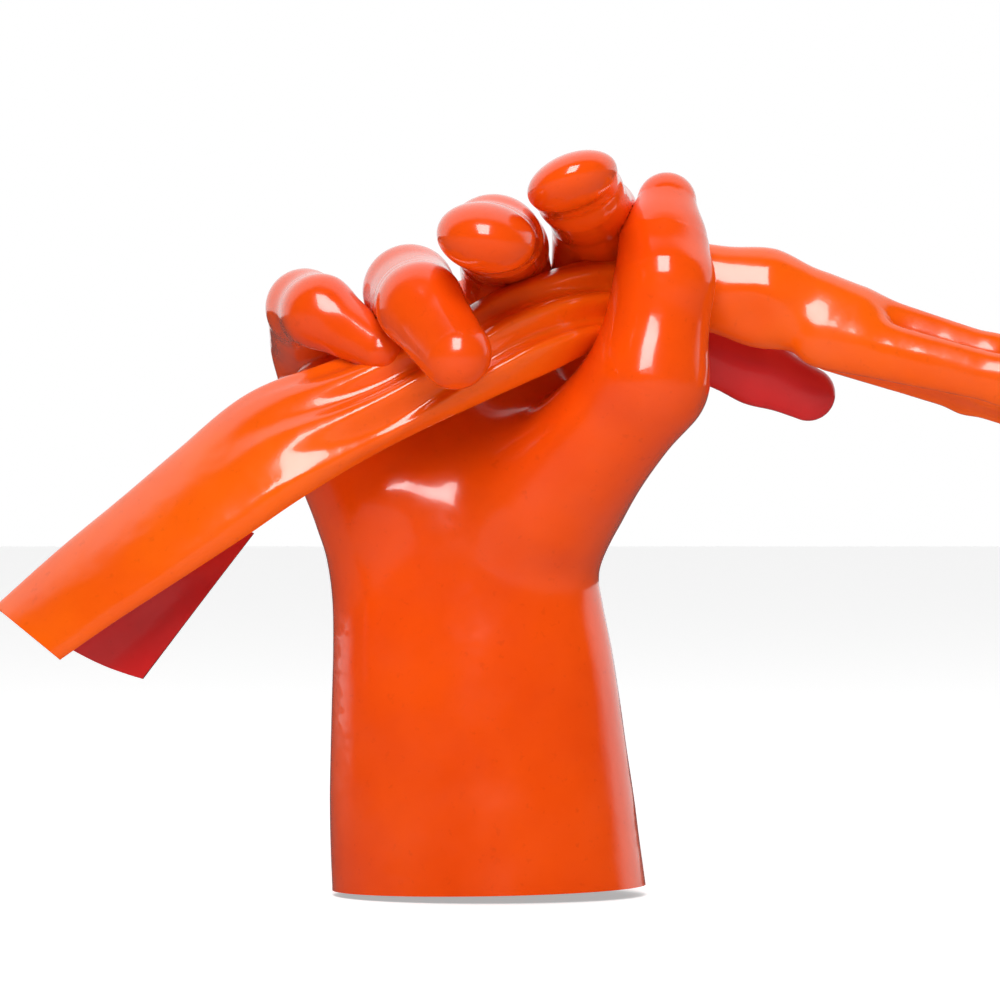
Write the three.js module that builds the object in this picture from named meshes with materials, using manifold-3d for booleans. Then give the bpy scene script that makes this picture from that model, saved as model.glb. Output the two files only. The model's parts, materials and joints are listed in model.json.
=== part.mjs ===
// A pair of rubber insulating gloves, gripped in use.
// The right glove keeps the shape of a raised, gripping hand. Its cuff opening is at the origin, with
// +Z up the forearm, +X to the side of the thumb and +Y to the back of the hand.
// The left glove is empty. It is gathered in the grip, its cuff hangs to -X and its fingers to +X.
// Each glove is one seamless film. The film is divided here at the lines where it bends.
// Lengths are in millimetres.

import * as THREE from 'three';
import { mergeVertices } from 'three/addons/utils/BufferGeometryUtils.js';
import Module from 'manifold-3d';

const wasm = await Module();
wasm.setup();

// The film and the clearances.
const WALL = 0.9;
const GAP = 0.4;
const MITRE_GAP = 0.35;
const NEST = WALL + GAP;

// The worn right glove.
const WRIST_Z = 74;
const CUFF_TOP = WRIST_Z + 1;
const PALM_FOOT = WRIST_Z - 3;
const WRIST_PLAY = 3.1;
const KNUCKLE_LINE = { y: 16, z: 139.5, rise: 0.2, tilt: THREE.MathUtils.degToRad(42) };

// One entry for each finger: radius at the palm and at the tip, then its knuckle, middle joint, end
// joint and tip.
const FINGERS = {
  index: { radius: 10.2, tip: 7.6, line: [[25.6, 14.6, 144.5], [24.6, -14, 157.2], [21, -36, 160.9], [18.6, -55, 162.4]] },
  middle: { radius: 10.4, tip: 7.8, line: [[4.4, 15.8, 143], [3.2, -17, 150], [1.5, -39, 151.5], [-0.3, -56, 150]] },
  ring: { radius: 10.6, tip: 7.8, line: [[-18.5, 14.8, 137.5], [-18.4, -22, 140], [-15.5, -43, 135.8], [-7.5, -55, 124.5]] },
  little: { radius: 9.2, tip: 5.6, line: [[-42.2, 11.6, 129.8], [-43, -12, 136.5], [-39, -25, 135], [-27.2, -32, 126]] },
};
const PHALANGES = ['base', 'middle', 'tip'];

const THENAR = { radius: 14.4, line: [[14.6, -7, 94], [36.5, -24, 120]] };
const THUMB = { radius: 14.4 - NEST, tip: 8.2, line: [[36.5, -24, 120], [40.4, -27, 142], [40.8, -26.5, 158.5]] };

const SIDES = 16;
const CUFF_SIDES = 32;

// Materials: one rubber, bright where it is lit and deeper where the film is folded under.
const rubber = new THREE.MeshStandardMaterial({ color: 0xe4470c, roughness: 0.14, metalness: 0 });
const inner = new THREE.MeshStandardMaterial({ color: 0xad2a20, roughness: 0.3, metalness: 0 });

// Profile radii that mark the outer skin and the inner skin of a lofted film.
const OUTER = 2;
const INNER = 1;

function vector(numbers) {
  return new THREE.Vector3(...numbers);
}

function signedVolume(geometry) {
  const place = geometry.getAttribute('position');
  const index = geometry.getIndex();
  const [a, b, c] = [new THREE.Vector3(), new THREE.Vector3(), new THREE.Vector3()];
  let sum = 0;
  for (let i = 0; i < index.count; i += 3) {
    a.fromBufferAttribute(place, index.getX(i));
    b.fromBufferAttribute(place, index.getX(i + 1));
    c.fromBufferAttribute(place, index.getX(i + 2));
    sum += a.dot(b.cross(c));
  }
  return sum / 6;
}

// Welds the seam of a turned shape and makes its faces point out.
function welded(geometry) {
  geometry.deleteAttribute('normal');
  geometry.deleteAttribute('uv');
  const whole = mergeVertices(geometry, 1e-3);
  const corners = Array.from(whole.getIndex().array);
  const kept = [];
  for (let i = 0; i < corners.length; i += 3) {
    const [a, b, c] = corners.slice(i, i + 3);
    if (a !== b && b !== c && a !== c) {
      kept.push(a, b, c);
    }
  }
  whole.setIndex(kept);
  if (signedVolume(whole) < 0) {
    whole.setIndex(kept.reverse());
  }
  return whole;
}

// Film lofted through stations, each { at, wide, deep, square }. The width lies along `across`.
// shut is 'none' for a sleeve, 'tip' for a stall and 'both' for a filled body. A level film has
// horizontal rings; any other has rings square to its centre line.
function film(stations, across, { sides = SIDES, steps = 8, shut = 'none', level = false } = {}) {
  const centres = new THREE.CatmullRomCurve3(stations.map((s) => vector(s.at)));
  const sizes = new THREE.CatmullRomCurve3(stations.map((s) => vector([s.wide, s.deep, s.square ?? 2])));
  const profile = [];
  if (shut === 'both') {
    profile.push(new THREE.Vector2(0, 0));
  }
  for (let i = 0; i <= steps; i += 1) {
    profile.push(new THREE.Vector2(OUTER, i / steps));
  }
  if (shut !== 'none') {
    profile.push(new THREE.Vector2(0, 1));
  }
  const inside = shut === 'tip' ? steps - 1 : steps;
  if (shut === 'tip') {
    profile.push(new THREE.Vector2(0, inside / steps));
  }
  if (shut !== 'both') {
    for (let i = inside; i >= 0; i -= 1) {
      profile.push(new THREE.Vector2(INNER, i / steps));
    }
    profile.push(profile[0].clone());
  }
  const geometry = new THREE.LatheGeometry(profile, sides);
  const place = geometry.getAttribute('position');
  for (let i = 0; i < place.count; i += 1) {
    const u = THREE.MathUtils.clamp(place.getY(i), 0, 1);
    const reach = Math.hypot(place.getX(i), place.getZ(i));
    const turn = Math.atan2(place.getX(i), place.getZ(i));
    const size = sizes.getPoint(u);
    const inset = reach > (OUTER + INNER) / 2 ? 0 : WALL;
    const used = reach < INNER / 2 ? 0 : 1;
    const ahead = level ? new THREE.Vector3(0, 0, 1) : centres.getTangent(u);
    const wide = vector(across).addScaledVector(ahead, -vector(across).dot(ahead)).normalize();
    const deep = new THREE.Vector3().crossVectors(ahead, wide);
    const power = 2 / size.z;
    const w = Math.sign(Math.cos(turn)) * Math.abs(Math.cos(turn)) ** power * (size.x - inset) * used;
    const d = Math.sign(Math.sin(turn)) * Math.abs(Math.sin(turn)) ** power * (size.y - inset) * used;
    const spot = centres.getPoint(u).addScaledVector(wide, w).addScaledVector(deep, d);
    place.setXYZ(i, spot.x, spot.y, spot.z);
  }
  return welded(geometry);
}

// Profile points on an arc about a point of the axis, from one angle to another, in degrees from -Y.
function arc(radius, height, from, to, count) {
  const points = [];
  for (let i = 0; i <= count; i += 1) {
    const turn = THREE.MathUtils.degToRad(from + ((to - from) * i) / count);
    points.push(new THREE.Vector2(radius * Math.sin(turn), height - radius * Math.cos(turn)));
  }
  return points;
}

const BALL_START = 42;
const ARC_STEPS = 3;

// One length of a finger stall: it starts as an open ball about its joint, so that it turns inside
// the film before it, and ends open or in a round tip.
function stall(radius, length, tip, tipRadius = radius) {
  const core = radius - WALL;
  const coreTip = tipRadius - WALL;
  const outside = arc(radius, 0, BALL_START, 90, ARC_STEPS);
  const inside = arc(core, 0, BALL_START, 90, ARC_STEPS);
  if (tip) {
    outside.push(...arc(tipRadius, length, 90, 180, ARC_STEPS));
    inside.push(...arc(coreTip, length, 90, 180, ARC_STEPS));
  } else {
    outside.push(new THREE.Vector2(radius, length));
    inside.push(new THREE.Vector2(core, length));
  }
  const profile = [...outside, ...inside.reverse(), outside[0].clone()];
  for (const point of profile) {
    point.x = Math.max(point.x, 0);
  }
  return new THREE.LatheGeometry(profile, SIDES);
}

// Moves the open end of a stall onto the plane that halves the bend to the next length.
function mitred(geometry, length, bend) {
  const along = new THREE.Vector3(0, 1, 0);
  const normal = bend.clone().add(along).normalize();
  const place = geometry.getAttribute('position');
  for (let i = 0; i < place.count; i += 1) {
    if (place.getY(i) > length - 1e-3) {
      const side = place.getX(i) * normal.x + place.getZ(i) * normal.z;
      place.setY(i, length + (-MITRE_GAP - side) / normal.y);
    }
  }
  return geometry;
}

function piece(name, geometry, material = rubber) {
  const mesh = new THREE.Mesh(geometry, material);
  mesh.name = name;
  return mesh;
}

// A chain of stalls along a line of joints, each a little slimmer than the one that holds it.
function chain(prefix, names, { radius, tip, line }) {
  const joints = line.map(vector);
  const ways = names.map((_, i) => joints[i + 1].clone().sub(joints[i]).normalize());
  return names.map((name, i) => {
    const length = joints[i].distanceTo(joints[i + 1]);
    const own = radius - NEST * i;
    const turn = new THREE.Quaternion().setFromUnitVectors(new THREE.Vector3(0, 1, 0), ways[i]);
    const last = i === names.length - 1;
    let geometry = stall(own, length, last, last ? tip : own);
    if (!last) {
      const bend = ways[i + 1].clone().applyQuaternion(turn.clone().invert());
      geometry = mitred(geometry, length, bend);
    }
    const mesh = piece(`${prefix}_${name}`, welded(geometry));
    mesh.position.copy(joints[i]);
    mesh.quaternion.copy(turn);
    return mesh;
  });
}

function solid(geometry) {
  const vertProperties = new Float32Array(geometry.getAttribute('position').array);
  const triVerts = new Uint32Array(geometry.getIndex().array);
  return new wasm.Manifold(new wasm.Mesh({ numProp: 3, vertProperties, triVerts }));
}

function geometryOf(manifold) {
  const mesh = manifold.getMesh();
  const geometry = new THREE.BufferGeometry();
  geometry.setAttribute('position', new THREE.BufferAttribute(mesh.vertProperties, 3));
  geometry.setIndex(new THREE.BufferAttribute(mesh.triVerts, 1));
  return geometry;
}

// Cuff of the worn glove: it covers the forearm and narrows to the wrist.
function wornCuff() {
  const stations = [
    { at: [0, 0, 0], wide: 36.7, deep: 29 },
    { at: [-2, 0, 24], wide: 35.2, deep: 27 },
    { at: [-4, 0, 50], wide: 32.9, deep: 23.5 },
    { at: [-5.6, 0, CUFF_TOP], wide: 31.2, deep: 21.5 },
  ];
  return piece('right_cuff', film(stations, [1, 0, 0], { sides: CUFF_SIDES, steps: 5, level: true }));
}

// Outline of the palm from inside the wrist up past the knuckles.
function palmStations(grow) {
  const slack = WALL + WRIST_PLAY - grow;
  return [
    { at: [-5.6, 0, PALM_FOOT], wide: 31.2 - slack, deep: 21.5 - slack, square: 2 },
    { at: [-5.4, 0, 84], wide: 31.4 + grow, deep: 18.8 + grow, square: 2.1 },
    { at: [-4.5, 1, 96], wide: 37.5 + grow, deep: 19.5 + grow, square: 2.6 },
    { at: [-5.4, 5, 110], wide: 42.8 + grow, deep: 17 + grow, square: 3 },
    { at: [-7, 10.5, 126], wide: 45.2 + grow, deep: 14.6 + grow, square: 3.6 },
    { at: [-7, 15.5, 150], wide: 45.2 + grow, deep: 12.8 + grow, square: 4.8 },
    { at: [-7, 16.5, 166], wide: 45.2 + grow, deep: 12.8 + grow, square: 4.8 },
  ];
}

// A block that covers all above the knuckle line, which falls from back to front and to the little finger.
function aboveKnuckles() {
  const size = 400;
  const block = new THREE.BoxGeometry(size, size, size);
  block.translate(0, 0, size / 2);
  block.rotateX(KNUCKLE_LINE.tilt);
  block.rotateY(-Math.atan(KNUCKLE_LINE.rise));
  block.translate(0, KNUCKLE_LINE.y, KNUCKLE_LINE.z);
  return solid(welded(block));
}

function thumbEnvelope(radius, line) {
  const [from, to] = line.map(vector);
  const length = from.distanceTo(to);
  const profile = [...arc(radius, 0, 0, 90, ARC_STEPS), ...arc(radius, length, 90, 180, ARC_STEPS)];
  for (const point of profile) {
    point.x = Math.max(point.x, 0);
  }
  profile[0].x = 0;
  profile[profile.length - 1].x = 0;
  const geometry = new THREE.LatheGeometry(profile, SIDES);
  const way = to.clone().sub(from).normalize();
  geometry.applyQuaternion(new THREE.Quaternion().setFromUnitVectors(new THREE.Vector3(0, 1, 0), way));
  geometry.translate(from.x, from.y, from.z);
  return solid(welded(geometry));
}

// The palm and the ball of the thumb are two shells that meet in an open window.
function palmAndThenar() {
  const options = { sides: CUFF_SIDES, steps: 10, level: true };
  const across = [1, 0, 0];
  const shell = solid(film(palmStations(0), across, options));
  const filled = solid(film(palmStations(GAP), across, { ...options, shut: 'both' }));
  const window = thumbEnvelope(THENAR.radius - WALL, THENAR.line);
  const palm = shell.subtract(aboveKnuckles()).subtract(window);
  const [from, to] = THENAR.line.map(vector);
  const way = to.clone().sub(from).normalize();
  const turn = new THREE.Quaternion().setFromUnitVectors(new THREE.Vector3(0, 1, 0), way);
  const thumbWay = vector(THUMB.line[1]).sub(vector(THUMB.line[0])).normalize();
  const bend = thumbWay.applyQuaternion(turn.clone().invert());
  const length = from.distanceTo(to);
  const bulge = mitred(stall(THENAR.radius, length, false), length, bend);
  bulge.applyQuaternion(turn);
  bulge.translate(from.x, from.y, from.z);
  const parts = solid(welded(bulge)).subtract(filled).decompose();
  const thenar = parts.reduce((a, b) => (a.volume() > b.volume() ? a : b));
  return [piece('right_palm', geometryOf(palm)), piece('right_thenar', geometryOf(thenar))];
}

// Middle of the empty glove, gathered in the grip.
function gather() {
  const stations = [
    { at: [-27, -26.5, 111.8], wide: 8, deep: 6.4 },
    { at: [-8, -27.5, 120.4], wide: 9.6, deep: 9.2 },
    { at: [8, -25, 129.6], wide: 10, deep: 9.6 },
    { at: [27, -9.2, 134.8], wide: 6.6, deep: 5.6 },
    { at: [48, -7.8, 143.2], wide: 9.2, deep: 5.8 },
  ];
  return piece('left_gather', film(stations, [-0.4, 0, 1], { steps: 8, shut: 'both' }));
}

// Cuff of the empty glove: the flattened front of the sleeve, and the part folded under behind it.
function emptyCuff() {
  const front = [
    { at: [-104.4, -33.5, 61], wide: 9.6, deep: 4.6, square: 2.6 },
    { at: [-90.5, -34, 71.8], wide: 10.8, deep: 4.8, square: 2.6 },
    { at: [-62, -33, 93], wide: 13, deep: 5, square: 2.6 },
    { at: [-43.5, -30.5, 105.6], wide: 12.4, deep: 5.2, square: 2.4 },
    { at: [-31, -28.2, 111.5], wide: 9.2, deep: 5.6, square: 2.2 },
  ];
  const fold = [
    { at: [-91, -25.5, 57], wide: 9.4, deep: 1.6 },
    { at: [-77, -25.5, 69], wide: 9.6, deep: 1.6 },
    { at: [-62, -25, 84], wide: 7, deep: 1.6 },
    { at: [-54, -24.6, 92], wide: 5, deep: 1.4 },
  ];
  return [
    piece('left_cuff_front', film(front, [-0.615, 0, 0.788], { steps: 8 })),
    piece('left_cuff_fold', film(fold, [-0.66, 0, 0.75], { steps: 5, shut: 'both' }), inner),
  ];
}

// Palm of the empty glove, between the grip and the roots of its fingers.
function emptyPalm() {
  const stations = [
    { at: [55.6, -8.6, 143.2], wide: 10.4, deep: 6.8, square: 2.2 },
    { at: [64, -9.4, 139.5], wide: 12.2, deep: 7.6, square: 2.4 },
    { at: [82, -9.5, 132.6], wide: 11, deep: 9.6, square: 2.8 },
  ];
  return piece('left_palm', film(stations, [0.3, 0, 1], { steps: 5 }));
}

// A limp stall of the empty glove along a line: film lies on film, and it narrows to a round tip.
function limpStall(name, line, wide, deep, material = rubber) {
  const sizes = [1, 1, 0.96, 0.8, 0.25];
  const curve = new THREE.CatmullRomCurve3(line.map(vector));
  const spots = [0, 0.4, 0.8, 0.94, 1];
  const stations = spots.map((u, i) => ({
    at: curve.getPoint(u).toArray(),
    wide: wide * sizes[i],
    deep: deep * sizes[i],
  }));
  return piece(name, film(stations, [0.3, 0, 1], { sides: 12, steps: 6, shut: 'both' }), material);
}

function emptyFingers() {
  return [
    limpStall('left_index', [[85.6, -14.4, 137], [122, -16, 124.2], [161, -15, 109.4]], 4.4, 2.8),
    limpStall('left_middle', [[85.6, -14.4, 126.6], [124, -16, 113], [165, -14, 98]], 4.4, 2.8),
    limpStall('left_ring', [[85.6, -4.4, 137], [120, -4, 125], [158, 0, 112.4]], 4.4, 2.8),
    limpStall('left_little', [[85.6, -4.4, 126.6], [116, -4, 114], [146, -1, 104.4]], 4.4, 2.8),
  ];
}

function emptyThumb() {
  return limpStall('left_thumb', [[55, 2.6, 123], [66, 3, 119], [80, 4, 114]], 6.4, 2.6, inner);
}

const gloves = new THREE.Group();
gloves.add(wornCuff(), ...palmAndThenar());
for (const [name, finger] of Object.entries(FINGERS)) {
  gloves.add(...chain(`right_${name}`, PHALANGES, finger));
}
gloves.add(...chain('right_thumb', ['base', 'tip'], THUMB));
gloves.add(gather(), ...emptyCuff(), emptyPalm(), ...emptyFingers(), emptyThumb());

export default gloves;
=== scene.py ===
# %% [markdown]
# # A pair of rubber insulating gloves
# One glove is on a hand and closed in a fist. The fist holds the other glove, which is empty.
# Nothing is left of the hand: the worn glove keeps its shape as a hollow skin.
# The frame comes first. It gives the joints, and each visible skin is built around them.

# %% Load the frame
import json
import math

import bpy
import numpy as np
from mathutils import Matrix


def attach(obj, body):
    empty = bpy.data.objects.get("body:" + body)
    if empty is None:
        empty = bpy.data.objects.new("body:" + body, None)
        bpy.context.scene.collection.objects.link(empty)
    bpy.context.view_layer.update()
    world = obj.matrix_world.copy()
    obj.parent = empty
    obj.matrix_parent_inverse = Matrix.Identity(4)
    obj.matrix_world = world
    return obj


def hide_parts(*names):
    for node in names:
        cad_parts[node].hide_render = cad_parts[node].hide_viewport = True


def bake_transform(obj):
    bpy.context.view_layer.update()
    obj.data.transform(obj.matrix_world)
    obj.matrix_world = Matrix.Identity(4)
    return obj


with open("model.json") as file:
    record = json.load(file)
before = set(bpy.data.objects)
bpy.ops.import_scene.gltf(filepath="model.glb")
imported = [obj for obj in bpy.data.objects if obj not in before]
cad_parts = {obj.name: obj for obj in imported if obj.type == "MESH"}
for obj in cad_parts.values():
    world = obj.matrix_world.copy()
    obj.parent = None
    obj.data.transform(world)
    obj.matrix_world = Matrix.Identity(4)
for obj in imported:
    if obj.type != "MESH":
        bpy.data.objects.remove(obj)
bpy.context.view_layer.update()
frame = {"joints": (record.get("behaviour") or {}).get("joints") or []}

import openvdb
from mathutils import Vector

MM = 0.001
JOINTS = {j["name"]: np.array(j["pos_m"]) / MM for j in frame["joints"]}
AXES = {j["name"]: np.array(j["axis"]) for j in frame["joints"]}
print("joints in the frame:", len(JOINTS))

# %% [markdown]
# ## The camera
# The gloves are seen level, from the palm side, through a long lens, so that the near fingers hardly grow.
# The camera is made first because it says which sides need the most care.

# %% Camera
VIEW_DISTANCE = 1.2
VIEW_CENTRE = (0.0026, 0.0916)
VIEW_HEIGHT = 0.235

camera_data = bpy.data.cameras.new("camera")
camera_data.sensor_width = 36
camera_data.angle = 2 * math.atan(VIEW_HEIGHT / 2 / VIEW_DISTANCE)
camera_data.clip_end = 20
camera = bpy.data.objects.new("camera", camera_data)
camera.location = (VIEW_CENTRE[0], -VIEW_DISTANCE, VIEW_CENTRE[1])
camera.rotation_euler = (math.pi / 2, 0, 0)
bpy.context.scene.collection.objects.link(camera)
bpy.context.scene.camera = camera
bpy.context.scene.view_settings.view_transform = "Standard"
print("lens", round(camera_data.lens), "mm")

# %% [markdown]
# ## Rubber
# The film is dipped latex rubber with a polished face. It has a clear shine over a strong orange body colour.
# A flat colour would look like plastic, so noise moves the shade a little, and the roughness too, where
# hands have dulled the polish. A long soft wave in the bump makes the edges of each highlight wander.

# %% One function makes each shade of rubber
def rubber(name, bright, deep, wave=0.28):
    material = bpy.data.materials.new(name)
    material.use_nodes = True
    tree = material.node_tree
    shader = tree.nodes["Principled BSDF"]
    shader.inputs["IOR"].default_value = 1.52
    shader.inputs["Coat Weight"].default_value = 0.55
    shader.inputs["Coat Roughness"].default_value = 0.03
    shader.inputs["Coat IOR"].default_value = 1.5
    place = tree.nodes.new("ShaderNodeTexCoord")

    def noise(scale, detail, roughness=0.5):
        node = tree.nodes.new("ShaderNodeTexNoise")
        node.inputs["Scale"].default_value = scale
        node.inputs["Detail"].default_value = detail
        node.inputs["Roughness"].default_value = roughness
        tree.links.new(place.outputs["Object"], node.inputs["Vector"])
        return node.outputs["Fac"]

    def spread(value, low, high, to_low, to_high):
        node = tree.nodes.new("ShaderNodeMapRange")
        for socket, number in zip(node.inputs[1:5], (low, high, to_low, to_high)):
            socket.default_value = number
        tree.links.new(value, node.inputs["Value"])
        return node.outputs["Result"]

    shade = tree.nodes.new("ShaderNodeMix")
    shade.data_type = "RGBA"
    shade.inputs["A"].default_value = (*deep, 1)
    shade.inputs["B"].default_value = (*bright, 1)
    tree.links.new(spread(noise(38, 4), 0.3, 0.62, 0.0, 1.0), shade.inputs["Factor"])
    speck = tree.nodes.new("ShaderNodeMix")
    speck.data_type = "RGBA"
    speck.blend_type = "MULTIPLY"
    speck.inputs["B"].default_value = (0.86, 0.8, 0.78, 1)
    tree.links.new(spread(noise(420, 3, 0.6), 0.62, 0.74, 0.0, 0.6), speck.inputs["Factor"])
    tree.links.new(shade.outputs["Result"], speck.inputs["A"])
    tree.links.new(speck.outputs["Result"], shader.inputs["Base Color"])
    tree.links.new(spread(noise(70, 5, 0.6), 0.35, 0.7, 0.13, 0.25), shader.inputs["Roughness"])
    soft = tree.nodes.new("ShaderNodeBump")
    soft.inputs["Strength"].default_value = wave
    soft.inputs["Distance"].default_value = 0.0008
    tree.links.new(noise(85, 2), soft.inputs["Height"])
    fine = tree.nodes.new("ShaderNodeBump")
    fine.inputs["Strength"].default_value = 0.12
    fine.inputs["Distance"].default_value = 0.00012
    tree.links.new(noise(900, 3), fine.inputs["Height"])
    tree.links.new(soft.outputs["Normal"], fine.inputs["Normal"])
    tree.links.new(fine.outputs["Normal"], shader.inputs["Normal"])
    tree.links.new(soft.outputs["Normal"], shader.inputs["Coat Normal"])
    return material


worn_rubber = rubber("worn_rubber", (0.92, 0.082, 0.002), (0.84, 0.066, 0.002))
empty_rubber = rubber("empty_rubber", (0.98, 0.125, 0.002), (0.92, 0.1, 0.002), wave=0.45)
# The crimson rubber is painted shade: a darker, redder copy of the orange film for the folded flap and the empty
# thumb, which lie in shade.
painted_shade_rubber = rubber("painted_shade_rubber", (0.66, 0.022, 0.022), (0.54, 0.017, 0.017))

# %% [markdown]
# ## A skin from distances
# A stretched film runs smoothly from one part of the hand into the next. Tubes joined by hand would show
# a ridge at each knuckle. So each part is a formula for the distance to its surface, the formulas are
# melted together, and one net of faces is drawn where the melted distance is nothing. The normals come
# from the same formula, so the shine runs over the lines where the skin is later divided.

# %% Distances to simple shapes, in millimetres
def dot(points, way):
    return points[:, 0] * way[0] + points[:, 1] * way[1] + points[:, 2] * way[2]


def limb(points, start, end, radius_start, radius_end, flat=1.0, thin_way=None):
    start, end = np.asarray(start, float), np.asarray(end, float)
    axis = end - start
    share = np.clip(dot(points, axis) - start @ axis, 0, axis @ axis) / (axis @ axis)
    offset = points - start - share[:, None] * axis
    if thin_way is not None:
        offset = offset + (dot(offset, thin_way) * (flat - 1))[:, None] * np.asarray(thin_way)
    return np.sqrt((offset**2).sum(1)) - (radius_start + (radius_end - radius_start) * share)


def melt(a, b, reach):
    blend = np.maximum(reach - np.abs(a - b), 0) / reach
    return np.minimum(a, b) - blend**3 * reach / 6


def carve(a, b, reach):
    return -melt(-a, -b, reach)


def eased(at, knots, values):
    knots, values = np.asarray(knots, float), np.asarray(values, float)
    slope = np.gradient(values, knots)
    i = np.clip(np.searchsorted(knots, at) - 1, 0, len(knots) - 2)
    width = knots[i + 1] - knots[i]
    t = np.clip((at - knots[i]) / width, 0, 1)
    a = (2 * t**3 - 3 * t**2 + 1) * values[i] + (t**3 - 2 * t**2 + t) * width * slope[i]
    return a + (3 * t**2 - 2 * t**3) * values[i + 1] + (t**3 - t**2) * width * slope[i + 1]


def unit(way):
    way = np.asarray(way, float)
    return way / np.linalg.norm(way)


# %% The net of faces, pulled onto the exact surface
VOXEL = 0.8
CHUNK = 400000


def in_chunks(field, points):
    parts = [field(points[i : i + CHUNK]) for i in range(0, len(points), CHUNK)]
    return np.concatenate(parts)


def gradient(field, points, step=0.08):
    sides = []
    for axis in range(3):
        shift = np.zeros(3)
        shift[axis] = step
        sides.append((in_chunks(field, points + shift) - in_chunks(field, points - shift)) / (2 * step))
    return np.stack(sides, 1)


def net(field, low, high):
    low = np.floor(np.asarray(low) / VOXEL) * VOXEL
    counts = np.ceil((np.asarray(high) - low) / VOXEL).astype(int) + 1
    axes = [low[i] + VOXEL * np.arange(counts[i]) for i in range(3)]
    grid = np.stack(np.meshgrid(*axes, indexing="ij"), -1).reshape(-1, 3).astype(np.float32)
    values = in_chunks(field, grid).astype(np.float32).reshape(counts)
    volume = openvdb.FloatGrid(3 * VOXEL)
    volume.copyFromArray(np.clip(values, -3 * VOXEL, 3 * VOXEL))
    points, quads = volume.convertToQuads(0.0)
    points = points.astype(float) * VOXEL + low
    for _ in range(3):
        slope = gradient(field, points)
        steep = np.maximum((slope**2).sum(1), 0.05)
        step = in_chunks(field, points) / steep
        points = points - np.clip(step, -VOXEL, VOXEL)[:, None] * slope
    slope = gradient(field, points)
    normals = slope / np.maximum(np.linalg.norm(slope, axis=1), 1e-6)[:, None]
    a, b, c = (points[quads[:, i]] for i in range(3))
    facing = (np.cross(b - a, c - a) * normals[quads[:, 0]]).sum()
    if facing < 0:
        quads = quads[:, ::-1]
    return points, quads, normals


# %% A mesh from points, faces and normals
def mesh_piece(name, points, quads, normals, material):
    used, quads = np.unique(quads, return_inverse=True)
    quads = quads.reshape(-1, 4)
    mesh = bpy.data.meshes.new(name)
    mesh.vertices.add(len(used))
    mesh.vertices.foreach_set("co", (points[used] * MM).astype(np.float32).ravel())
    mesh.loops.add(quads.size)
    mesh.loops.foreach_set("vertex_index", quads.astype(np.int32).ravel())
    mesh.polygons.add(len(quads))
    mesh.polygons.foreach_set("loop_start", np.arange(0, quads.size, 4, dtype=np.int32))
    mesh.update(calc_edges=True)
    mesh.validate()
    mesh.shade_smooth()
    if normals is not None and len(mesh.vertices) == len(used):
        mesh.normals_split_custom_set_from_vertices(normals[used].tolist())
    mesh.materials.append(material)
    piece = bpy.data.objects.new(name, mesh)
    bpy.context.scene.collection.objects.link(piece)
    print(f"{name}: {len(mesh.polygons)} faces")
    return piece


# %% [markdown]
# ## The worn glove
# Its cuff follows the forearm: widest at the hem, slimmest at the wrist, then out to the heel of the hand.
# A table of a few heights gives the outline, and a smooth curve runs through them. The ball of the thumb and
# the heel on the other side are round limbs melted into it. The palm stops at the slanting line of knuckles.

# %% Forearm and palm
#             height, centre x, half width, centre y, half depth, squareness
ARM = np.array([
    (-10, 0.8, 37.4, 0.0, 29.0, 2.0),
    (0, 0.1, 36.9, 0.0, 28.4, 2.0),
    (10, -0.8, 36.4, 0.0, 27.4, 2.0),
    (21, -1.6, 35.8, 0.0, 26.4, 2.0),
    (33, -2.4, 34.8, 0.0, 25.3, 2.0),
    (45, -3.1, 33.8, 0.0, 24.2, 2.0),
    (57, -3.9, 32.7, 0.0, 23.0, 2.0),
    (68, -5.1, 31.7, 0.0, 21.8, 2.0),
    (75, -6.1, 31.4, 0.0, 21.2, 2.0),
    (81, -6.0, 32.2, 0.0, 20.8, 2.0),
    (87, -5.4, 34.4, 0.4, 20.4, 2.1),
    (93, -5.3, 36.9, 1.2, 20.0, 2.2),
    (101, -5.4, 40.0, 2.8, 19.0, 2.4),
    (112, -6.0, 43.2, 5.6, 17.0, 2.6),
    (126, -7.0, 44.6, 10.4, 14.6, 2.8),
    (140, -7.0, 44.8, 14.2, 12.8, 2.9),
    (160, -7.0, 44.6, 16.6, 12.0, 2.9),
])
KNUCKLE_POINT = np.array((0.0, 16.0, 138.6))
KNUCKLE_NORMAL = unit((-0.2, -0.9, 1.0))
THENAR = ((13, -9.5, 92), (36.2, -26.5, 118.5), 15.5, 13.6)
HEEL = ((-24, -4, 92), (-34, -2, 114), 14, 12)


def arm_field(points):
    across, behind, height = points[:, 0], points[:, 1], points[:, 2]
    cx, wide, cy, deep, square = (eased(height, ARM[:, 0], ARM[:, i]) for i in range(1, 6))
    u, v = np.abs((across - cx) / wide) + 1e-6, np.abs((behind - cy) / deep) + 1e-6
    column = ((u**square + v**square) ** (1 / square) - 1) * np.minimum(wide, deep)
    column = carve(column, dot(points - KNUCKLE_POINT, KNUCKLE_NORMAL), 9)
    column = melt(column, limb(points, *HEEL), 12)
    return melt(column, limb(points, *THENAR), 16)


# %% [markdown]
# ## Fingers
# Each finger is three limbs through the joints that the frame gives, a little flatter at the pad than a rod.
# It is melted into the palm on its own, never into its neighbour, so that two fingers can part when one opens.

# %% Finger shapes
#               radius at knuckle, middle joint, end joint, tip; flatness of the last two; tip
FINGERS = {
    "index": ((10.8, 9.9, 9.6, 10.6), (1.15, 1.75), (18.8, -55.5, 163.0)),
    "middle": ((11.0, 10.3, 10.6, 11.2), (1.1, 1.4), (-0.5, -56.5, 150.3)),
    "ring": ((11.0, 10.3, 9.7, 8.2), (1.05, 1.08), (-7.3, -55.0, 124.3)),
    "little": ((9.8, 8.6, 8.4, 5.4), (1.05, 1.1), (-25.0, -34.0, 126.0)),
}
PALM_MELT = 6.0


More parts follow.
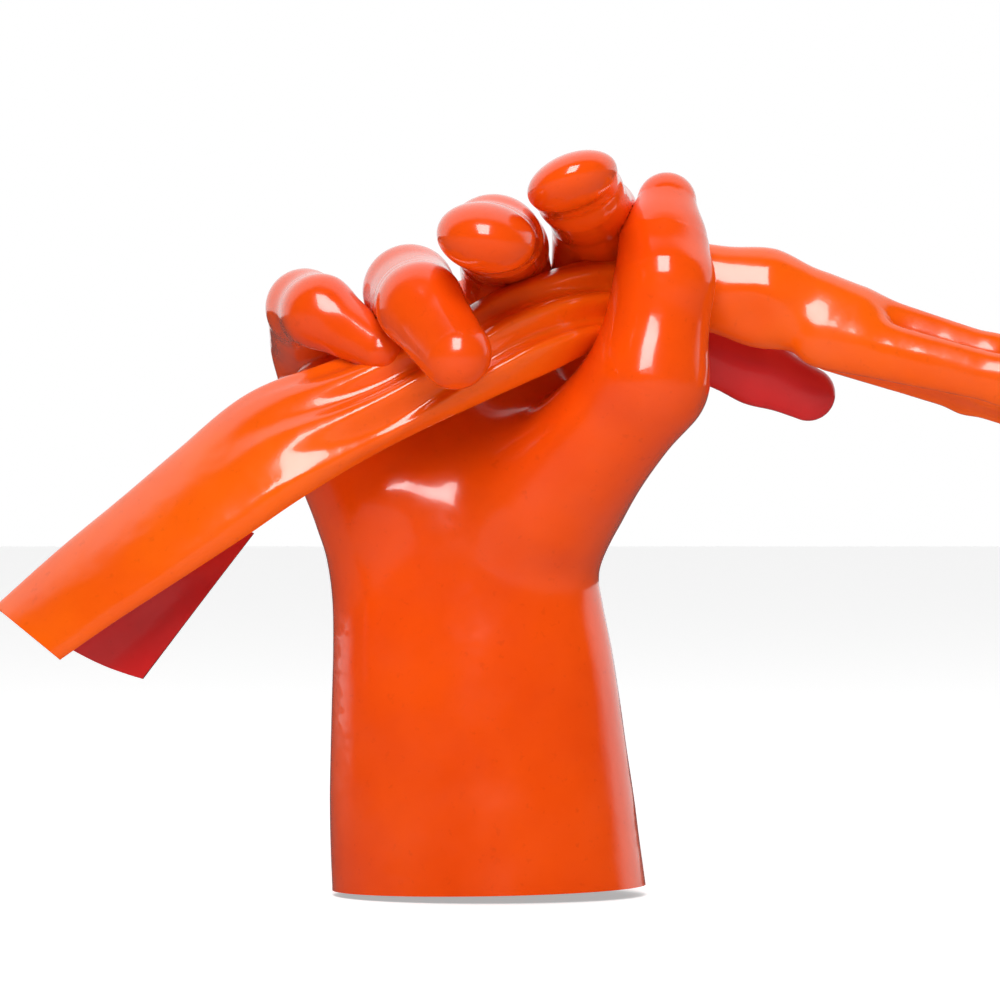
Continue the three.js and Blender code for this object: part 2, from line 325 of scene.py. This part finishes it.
def finger_line(name):
    parts = [JOINTS[f"{name}_{part}"] for part in ("knuckle", "middle_bend", "tip_bend")]
    return [*parts, np.array(FINGERS[name][2])]


def finger_limbs(name):
    radii, flats, _ = FINGERS[name]
    line = finger_line(name)
    limbs = []
    for i, flat in enumerate((1.0, *flats)):
        way = unit(line[i + 1] - line[i])
        thin = unit(np.cross(AXES[f"{name}_tip_bend"], way))
        limbs.append((line[i], line[i + 1], radii[i], radii[i + 1], flat, thin))
    return limbs


def chain_field(limbs, reach=3.0):
    def field(points):
        whole = limb(points, *limbs[0])
        for one in limbs[1:]:
            whole = melt(whole, limb(points, *one), reach)
        return whole

    return field


# %% Thumb shape
THUMB_ENDS = [np.array((40.2, -22.5, 151)), np.array((41.2, -17.5, 160.6))]
THUMB_LINE = [JOINTS["thumb_knuckle"] + (0, -3, 0), JOINTS["thumb_tip_bend"], *THUMB_ENDS]
THUMB_RADII = (13.6, 11.0, 9.6, 6.9)
THUMB_LIMBS = [(THUMB_LINE[i], THUMB_LINE[i + 1], THUMB_RADII[i], THUMB_RADII[i + 1]) for i in range(3)]

CHAINS = {name: chain_field(finger_limbs(name)) for name in FINGERS}
CHAINS["thumb"] = chain_field(THUMB_LIMBS, 5.0)


def skin_of(name):
    chain = CHAINS[name]

    def field(points):
        return melt(arm_field(points), chain(points), PALM_MELT)

    return field


SKINS = {name: skin_of(name) for name in CHAINS}


def whole_field(points):
    arm = arm_field(points)
    whole = None
    for chain in CHAINS.values():
        one = melt(arm, chain(points), PALM_MELT)
        whole = one if whole is None else np.minimum(whole, one)
    return whole


# %% Where each finger leaves the palm
HAND_WAY = np.array((0.0, 0.1, 1.0))
KNUCKLES = {}
for name in FINGERS:
    line = finger_line(name)
    KNUCKLES[name] = (line[0], unit(unit(line[1] - line[0]) + unit(HAND_WAY)))
thumb_way = unit(THUMB_LINE[1] - THUMB_LINE[0])
KNUCKLES["thumb"] = (THUMB_LINE[0], unit(thumb_way + unit(np.subtract(THENAR[1], THENAR[0]))))
REACH = 4.0


# The palm piece runs on a little way under each finger, pushed in, so that no gap shows between them.
LAP = 1.6
LAP_DEPTH = 0.12


def owners(places, past=0.0):
    names = list(CHAINS)
    near = np.stack([CHAINS[name](places) for name in names], 1)
    nearest = near.argmin(1)
    owner = np.full(len(places), -1)
    for i, name in enumerate(names):
        centre, way = KNUCKLES[name]
        beyond = dot(places - centre, way) > past
        owner[(nearest == i) & (near[:, i] < REACH) & beyond] = i
    return owner


# %% [markdown]
# The palm and cuff are one piece. It has an inner skin too, because one looks up into the cuff from below,
# and a cut edge as thick as the film joins the two at the hem.

# %% Palm and cuff
FILM = 0.9
HEM_SLANT = 0.018


def hem_height(points):
    return points[:, 2] - HEM_SLANT * (points[:, 0] + 36)


def trimmed_at_hem(points, quads):
    above = hem_height(points) > 0
    keep = above[quads].any(1)
    quads = quads[keep]
    low = ~above
    shifted = points.copy()
    shifted[low, 2] -= hem_height(points)[low]
    return shifted, quads


def boundary_edges(quads):
    edges = np.concatenate([quads[:, [i, (i + 1) % 4]] for i in range(4)])
    keys = np.sort(edges, 1)
    _, first, counts = np.unique(keys, axis=0, return_index=True, return_counts=True)
    return edges[first[counts == 1]]


def lined(points, quads, normals, at_edge):
    count = len(points)
    inner = points - normals * FILM
    edges = boundary_edges(quads)
    edges = edges[at_edge(points[edges[:, 0]]) & at_edge(points[edges[:, 1]])]
    rim = np.stack([edges[:, 1], edges[:, 0], edges[:, 0] + count, edges[:, 1] + count], 1)
    all_quads = np.concatenate([quads, quads[:, ::-1] + count, rim])
    return np.concatenate([points, inner]), all_quads, np.concatenate([normals, -normals])


points, quads, normals = net(whole_field, (-66, -72, -5), (62, 36, 178))
own = owners(points[quads].mean(1), LAP)
under = owners(points) >= 0
points = points - (under * LAP_DEPTH)[:, None] * normals
points_cut, body_quads = trimmed_at_hem(points, quads[own < 0])
body = lined(points_cut, body_quads, normals, lambda p: hem_height(p) < 0.01)
palm_piece = mesh_piece("worn_palm_and_cuff", *body, worn_rubber)

# %% Fingers, each divided in the middle of its lengths
def finger_pieces(name, cuts, labels):
    centre, _ = KNUCKLES[name]
    line = THUMB_LINE if name == "thumb" else finger_line(name)
    low = np.min(line, axis=0) - 20
    high = np.max(line, axis=0) + 20
    points, quads, normals = net(SKINS[name], low, high)
    middles = points[quads].mean(1)
    edge = (np.abs(middles - low).min(1) < 2 * VOXEL) | (np.abs(middles - high).min(1) < 2 * VOXEL)
    mine = (owners(middles) == list(CHAINS).index(name)) & ~edge
    part = np.zeros(len(quads), int)
    for i, (segment, share) in enumerate(cuts):
        start, end = line[segment], line[segment + 1]
        place = start + (end - start) * share
        part[dot(middles - place, unit(end - start)) > 0] = i + 1
    return [
        mesh_piece(f"worn_{name}_{label}", points, quads[mine & (part == i)], normals, worn_rubber)
        for i, label in enumerate(labels)
    ]


for name in FINGERS:
    line = finger_line(name)
    root, middle, tip = finger_pieces(name, [(0, 0.66), (1, 0.42)], ("root", "middle", "tip"))
    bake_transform(root)
    for piece, i, bodies in ((middle, 1, ("base", "middle")), (tip, 2, ("middle", "tip"))):
        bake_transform(piece)
    for piece, part in ((root, "base"), (middle, "middle"), (tip, "tip")):
        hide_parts(f"right_{name}_{part}")

# %% Thumb
thumb_root, thumb_tip = finger_pieces("thumb", [(0, 0.55)], ("root", "tip"))
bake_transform(thumb_root)
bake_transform(thumb_tip)
for piece, part in ((thumb_root, "base"), (thumb_tip, "tip")):
    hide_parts(f"right_thumb_{part}")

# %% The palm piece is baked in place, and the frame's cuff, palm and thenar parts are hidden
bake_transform(palm_piece)
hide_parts("right_cuff", "right_palm", "right_thenar")

# %% [markdown]
# ## The empty glove
# Its film is a flattened tube from the open cuff to the roots of the fingers, squeezed into long folds in the
# grip. A loft suits it: rings of points along a path, where each ring is a flat loop with its own folds.

# %% Smooth values along a path
def along(stations, share):
    stations = np.asarray(stations, float)
    knots = np.linspace(0, 1, len(stations))
    return np.stack([eased(share, knots, stations[:, i]) for i in range(stations.shape[1])], 1)


def ring_loft(stations, section, rings, around):
    share = np.linspace(0, 1, rings)
    table = along(stations, share)
    centres = table[:, :3]
    ways = np.gradient(centres, axis=0)
    ways /= np.linalg.norm(ways, axis=1)[:, None]
    front = np.array((0.0, -1.0, 0.0))
    front = front - ways * (ways @ front)[:, None]
    front /= np.linalg.norm(front, axis=1)[:, None]
    upward = np.cross(front, ways)
    upward *= np.sign(upward[:, 2])[:, None]
    turn = np.linspace(0, 2 * np.pi, around, endpoint=False)
    points = np.zeros((rings, around, 3))
    for i in range(rings):
        w, d = section(turn, share[i], table[i, 3], table[i, 4], table[i, 6])
        lean = math.radians(table[i, 5])
        up = math.cos(lean) * upward[i] - math.sin(lean) * front[i]
        out = math.cos(lean) * front[i] + math.sin(lean) * upward[i]
        slant = -MOUTH_SHEAR * np.maximum(1 - share[i] / 0.2, 0) * w / table[i, 3]
        points[i] = centres[i] + w[:, None] * up + d[:, None] * out + slant[:, None] * ways[i]
    normal = np.cross(np.roll(points, -1, 1) - np.roll(points, 1, 1), np.gradient(points, axis=0))
    normal /= np.maximum(np.linalg.norm(normal, axis=2), 1e-9)[..., None]
    if ((points - centres[:, None]) * normal).sum() < 0:
        normal = -normal
    i, j = np.meshgrid(np.arange(rings - 1), np.arange(around), indexing="ij")
    k = (j + 1) % around
    quads = np.stack([i * around + j, i * around + k, (i + 1) * around + k, (i + 1) * around + j], -1)
    quads = quads.reshape(-1, 4)
    points, normal = points.reshape(-1, 3), normal.reshape(-1, 3)
    a, b, c = (points[quads[:, n]] for n in range(3))
    if (np.cross(b - a, c - a) * normal[quads[:, 0]]).sum() < 0:
        quads = quads[:, ::-1]
    return lined(points, quads, normal, lambda p: np.full(len(p), True))


# %% Cuff and gathered middle
#          x, y, z, half width, half depth, lean in degrees, how far it is gathered
TUBE = [
    (-105.4, -33.5, 61.2, 11.6, 3.4, 34, 0),
    (-91.5, -34.5, 72.2, 13.2, 4.4, 36, 0),
    (-77.4, -35, 82.6, 14.4, 5.2, 36, 0),
    (-63, -35, 93.4, 15.4, 6.0, 34, 0),
    (-48.6, -34.5, 104.2, 15.6, 6.8, 30, 0.25),
    (-34, -33.5, 111.4, 13.2, 7.6, 24, 0.7),
    (-20, -32.5, 117.4, 11.4, 8.4, 18, 1),
    (-6, -31, 123.2, 10.6, 9.2, 14, 1),
    (8, -27.5, 130.4, 11.4, 9.4, 12, 1),
    (22, -18, 136.4, 10.6, 8.2, 10, 1),
    (34, -11, 139.4, 10.4, 7.0, 6, 0.8),
    (45, -9.5, 141.8, 9.8, 6.4, 2, 0.5),
    (54, -9.5, 140.8, 8.4, 5.4, 0, 0.3),
]
FOLD_COUNT = 2.6
FOLD_DEPTH = 0.42
MOUTH_SHEAR = 3.0


def tube_section(turn, share, wide, deep, gathered):
    height, side = np.cos(turn), np.sin(turn)
    drift = 1.3 * math.sin(5.2 * share + 0.6) + 0.5 * math.sin(17 * share)
    ripple = np.sin(math.pi * FOLD_COUNT * height + 2.2 * drift + 7 * share)
    crease = 0.5 * ripple - 0.5 * np.abs(np.cos(0.5 * math.pi * FOLD_COUNT * height + 1.1 * drift + 3.5 * share))
    folds = 1 + FOLD_DEPTH * gathered * crease
    flat = np.where(side > 0, 0.92 - 0.25 * height, 0.4 + 0.4 * gathered)
    return wide * height, deep * side * flat * folds


TUBE_RINGS = 260
TUBE_AROUND = 120
tube = ring_loft(TUBE, tube_section, TUBE_RINGS, TUBE_AROUND)
CUFF_HINGE = JOINTS["left_cuff_swing"]
CUFF_WAY = unit((0.788, 0, 0.615))


def tube_part(name, keep):
    points, quads, normals = tube
    middles = points[quads].mean(1)
    return mesh_piece(name, points, quads[keep(middles)], normals, empty_rubber)


CUFF_TURN = 9.0
cuff_piece = tube_part("empty_cuff", lambda p: dot(p - CUFF_HINGE, CUFF_WAY) < CUFF_TURN + 2)
gather_piece = tube_part("empty_gather", lambda p: dot(p - CUFF_HINGE, CUFF_WAY) >= CUFF_TURN + 2)
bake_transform(cuff_piece)
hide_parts("left_cuff_front")
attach(gather_piece, "hand")
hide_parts("left_gather")

# %% [markdown]
# The back of the cuff is folded under and hangs a little lower, with its own cut edge at the mouth.

# %% Folded flap
def flap_points():
    u, v = np.meshgrid(np.linspace(0, 1, 60), np.linspace(0, 1, 26), indexing="ij")
    low_start, low_end = np.array((-79.6, -27, 50.6)), np.array((-54, -26.5, 84))
    top_start, top_end = np.array((-103, -27.5, 60.5)), np.array((-66, -27, 90))
    low = low_start + (low_end - low_start) * u[..., None]
    top = top_start + (top_end - top_start) * u[..., None]
    points = low + (top - low) * v[..., None]
    points[..., 1] += 1.2 * np.sin(np.pi * v) * (1 - 0.4 * u) + 0.5 * np.sin(5 * v + 3 * u) * (1 - u)
    points[..., 2] -= 0.9 * np.sin(np.pi * v * 1.3) * (1 - u) ** 4
    return points


grid = flap_points()
rows, columns = grid.shape[:2]
flap_normal = np.cross(np.gradient(grid, axis=0), np.gradient(grid, axis=1))
flap_normal /= np.linalg.norm(flap_normal, axis=2)[..., None]
flap_normal *= -np.sign(flap_normal[..., 1])[..., None]
i, j = np.meshgrid(np.arange(rows - 1), np.arange(columns - 1), indexing="ij")
base = i * columns + j
flap_quads = np.stack([base, base + 1, base + columns + 1, base + columns], -1).reshape(-1, 4)
flat_points, flat_normals = grid.reshape(-1, 3), flap_normal.reshape(-1, 3)
a, b, c = (flat_points[flap_quads[:, n]] for n in range(3))
if (np.cross(b - a, c - a) * flat_normals[flap_quads[:, 0]]).sum() < 0:
    flap_quads = flap_quads[:, ::-1]
flap = lined(flat_points, flap_quads, flat_normals, lambda p: np.full(len(p), True))
# The flap is painted crimson: painted shade on the back layer, which lies in shadow under the cuff.
flap_piece = mesh_piece("empty_cuff_flap", *flap, painted_shade_rubber)
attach(flap_piece, "left_cuff")
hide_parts("left_cuff_fold")

# %% [markdown]
# The empty hand has no fingers in it. Its stalls lie flat on each other and taper, so they are flat limbs,
# melted at their roots into a flat palm. The gap between two stalls starts at a soft dimple.

# %% Empty hand
FLAT_WAY = np.array((0.0, 1.0, 0.0))
EMPTY_PALM = [
    ((46, -9.5, 142.2), (64, -10, 138.6), 9.8, 10.8, 1.5),
    ((64, -10, 138.8), (84, -11, 132.6), 10.8, 8.8, 1.6),
]
EMPTY_STALLS = {
    "index": [
        ((78, -8, 136.6), (118, -10, 124.6), 6.6, 5.2, 1.8),
        ((118, -10, 124.6), (160, -10, 109.6), 5.2, 4.2, 2.0),
    ],
    "middle": [
        ((78, -14, 129.4), (120, -16, 119.2), 7.2, 5.4, 1.8),
        ((120, -16, 119.2), (164, -16, 103.2), 5.4, 3.8, 2.0),
    ],
    "ring": [
        ((80, -4, 130), (118, -4, 118.5), 6.0, 4.4, 1.8),
        ((118, -4, 118.5), (156, -3, 106.5), 4.4, 3.6, 2.0),
    ],
    "little": [
        ((80, -3, 127), (112, -2, 116), 5.2, 3.8, 1.8),
        ((112, -2, 116), (146, -1, 104.5), 3.8, 3.4, 2.0),
    ],
}
DIMPLE = ((60, -24, 131.5), 8.0)


def empty_palm_field(points):
    whole = None
    for start, end, a, b, flat in EMPTY_PALM:
        one = limb(points, start, end, a, b, flat, FLAT_WAY)
        whole = one if whole is None else melt(whole, one, 6)
    hollow = DIMPLE[1] - np.sqrt(((points - np.array(DIMPLE[0])) ** 2).sum(1))
    return carve(whole, hollow, 6)


def stall_field(name):
    def field(points):
        whole = None
        for start, end, a, b, flat in EMPTY_STALLS[name]:
            one = limb(points, start, end, a, b, flat, FLAT_WAY)
            whole = one if whole is None else melt(whole, one, 4)
        return whole

    return field


def empty_hand_field(points):
    whole = empty_palm_field(points)
    fingers = None
    for name in EMPTY_STALLS:
        one = stall_field(name)(points)
        fingers = one if fingers is None else melt(fingers, one, 1.2)
    return melt(whole, fingers, 7)


points, quads, normals = net(empty_hand_field, (30, -30, 92), (172, 8, 160))
middles = points[quads].mean(1)
ROOTS = JOINTS["left_fingers_droop"]
empty_palm = mesh_piece("empty_palm", points, quads[middles[:, 0] < ROOTS[0] - 12], normals, empty_rubber)
stalls = mesh_piece("empty_fingers", points, quads[middles[:, 0] >= ROOTS[0] - 12], normals, empty_rubber)
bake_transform(empty_palm)
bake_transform(stalls)
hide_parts("left_palm")
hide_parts("left_index", "left_middle", "left_ring", "left_little")

# %% Empty thumb, which hangs behind in the shade
EMPTY_THUMB = [
    ((46, 2, 128), (63, 2.5, 122.2), 7.0, 7.6, 2.2),
    ((63, 2.5, 122.2), (75.2, 3, 116.6), 7.6, 6.4, 2.2),
]


def empty_thumb_field(points):
    first, second = (limb(points, *one, FLAT_WAY) for one in EMPTY_THUMB)
    return melt(first, second, 5)


points, quads, normals = net(empty_thumb_field, (36, -8, 100), (90, 12, 140))
# The empty thumb is painted crimson: painted shade, because it hangs behind in the shade.
empty_thumb = mesh_piece("empty_thumb", points, quads, normals, painted_shade_rubber)
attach(empty_thumb, "left_thumb")
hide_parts("left_thumb")

# %% [markdown]
# ## Floor and light
# The glove stands on its hem on a pale floor that runs into a white background. Shine needs something to
# mirror: the white room shows as pale strips along both sides of the forearm, and one tall soft lamp above
# the camera draws the lines on the thumb and the spot on each fingertip.

# %% A small helper for number nodes
def number_node(tree, operation, first, second):
    node = tree.nodes.new("ShaderNodeMath")
    node.operation = operation
    for socket, value in zip(node.inputs, (first, second)):
        if isinstance(value, (int, float)):
            socket.default_value = value
        else:
            tree.links.new(value, socket)
    return node.outputs["Value"]


# %% Floor
# The floor shows white to the camera except where the gloves shade it. Its mirror image in the rubber is dim.
FLOOR_LIFT = 0.42
bpy.ops.mesh.primitive_plane_add(size=12, location=(0, 3, -0.0012))
floor = bpy.context.object
floor.name = "floor"
floor_material = bpy.data.materials.new("floor")
floor_material.use_nodes = True
tree = floor_material.node_tree
floor_shader = tree.nodes["Principled BSDF"]
floor_shader.inputs["Roughness"].default_value = 0.8
floor_shader.inputs["Specular IOR Level"].default_value = 0.0
path = tree.nodes.new("ShaderNodeLightPath")
dim = number_node(tree, "MULTIPLY", path.outputs["Is Glossy Ray"], -0.8)
tint = number_node(tree, "ADD", dim, 0.92)
grey = tree.nodes.new("ShaderNodeCombineColor")
for channel in ("Red", "Green", "Blue"):
    tree.links.new(tint, grey.inputs[channel])
tree.links.new(grey.outputs["Color"], floor_shader.inputs["Base Color"])
floor_shader.inputs["Emission Color"].default_value = (1, 1, 1, 1)
lift = number_node(tree, "MULTIPLY", path.outputs["Is Camera Ray"], FLOOR_LIFT)
tree.links.new(lift, floor_shader.inputs["Emission Strength"])
floor.data.materials.append(floor_material)


# %% Room
# White walls stand behind and beside the gloves. The side with the camera is dark.
def room():
    world = bpy.data.worlds.new("room")
    bpy.context.scene.world = world
    world.use_nodes = True
    tree = world.node_tree
    way = tree.nodes.new("ShaderNodeTexCoord")
    split = tree.nodes.new("ShaderNodeSeparateXYZ")
    tree.links.new(way.outputs["Generated"], split.inputs["Vector"])
    high = number_node(tree, "MULTIPLY", split.outputs["Z"], 0.4)
    place = number_node(tree, "ADD", split.outputs["Y"], high)
    wall = tree.nodes.new("ShaderNodeMapRange")
    wall.interpolation_type = "SMOOTHSTEP"
    for socket, value in zip(wall.inputs[1:5], (0.08, 0.42, 0.03, 0.95)):
        socket.default_value = value
    tree.links.new(place, wall.inputs["Value"])
    path = tree.nodes.new("ShaderNodeLightPath")
    total = number_node(tree, "MAXIMUM", wall.outputs["Result"], path.outputs["Is Camera Ray"])
    tree.links.new(total, tree.nodes["Background"].inputs["Strength"])
    tree.nodes["Background"].inputs["Color"].default_value = (1, 1, 1, 1)


room()


# %% Lamps
def lamp(name, place, aim, width, height, radiance):
    data = bpy.data.lights.new(name, "AREA")
    data.shape = "RECTANGLE"
    data.size, data.size_y = width, height
    data.energy = radiance * math.pi * width * height
    light = bpy.data.objects.new(name, data)
    light.location = place
    light.rotation_euler = (Vector(aim) - Vector(place)).to_track_quat("-Z", "Y").to_euler()
    bpy.context.scene.collection.objects.link(light)
    return light


AIM = (0.0, -0.02, 0.13)
lamp("front_softbox", (-0.05, -1.25, 1.05), AIM, 0.66, 1.05, 9.5)
